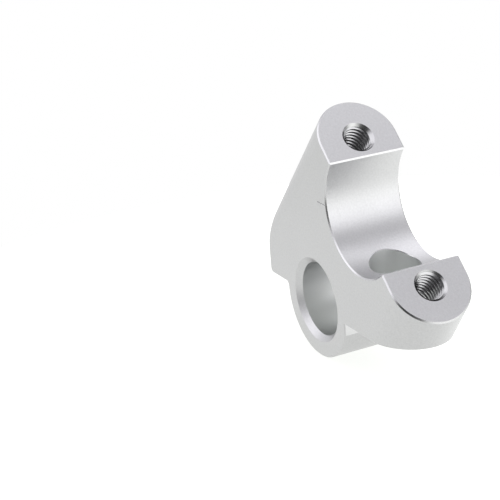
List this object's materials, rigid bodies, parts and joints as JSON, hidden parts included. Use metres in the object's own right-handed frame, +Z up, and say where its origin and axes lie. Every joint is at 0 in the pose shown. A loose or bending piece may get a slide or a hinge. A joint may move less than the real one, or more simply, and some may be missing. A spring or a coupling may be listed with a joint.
{
  "type": "motorcycle bar riser",
  "caption": "One-piece machined riser with a round lower bore, a half-round handlebar saddle between two tilted lugs with threaded holes, and an upright stud hole.",
  "frame": {"origin": "middle of the lower bore's axis, half way across the body's width", "axes": "+Z up, +X forward of the bore towards the handlebar and the rider, +Y along the bore and the handlebar"},
  "size_m": [0.0724, 0.022, 0.0674],
  "materials": {
    "anodised_aluminium": "fine bead-blasted, clear anodised"
  },
  "bodies": {
    "root": {"riser_body": "anodised_aluminium"}
  },
  "joints": []
}
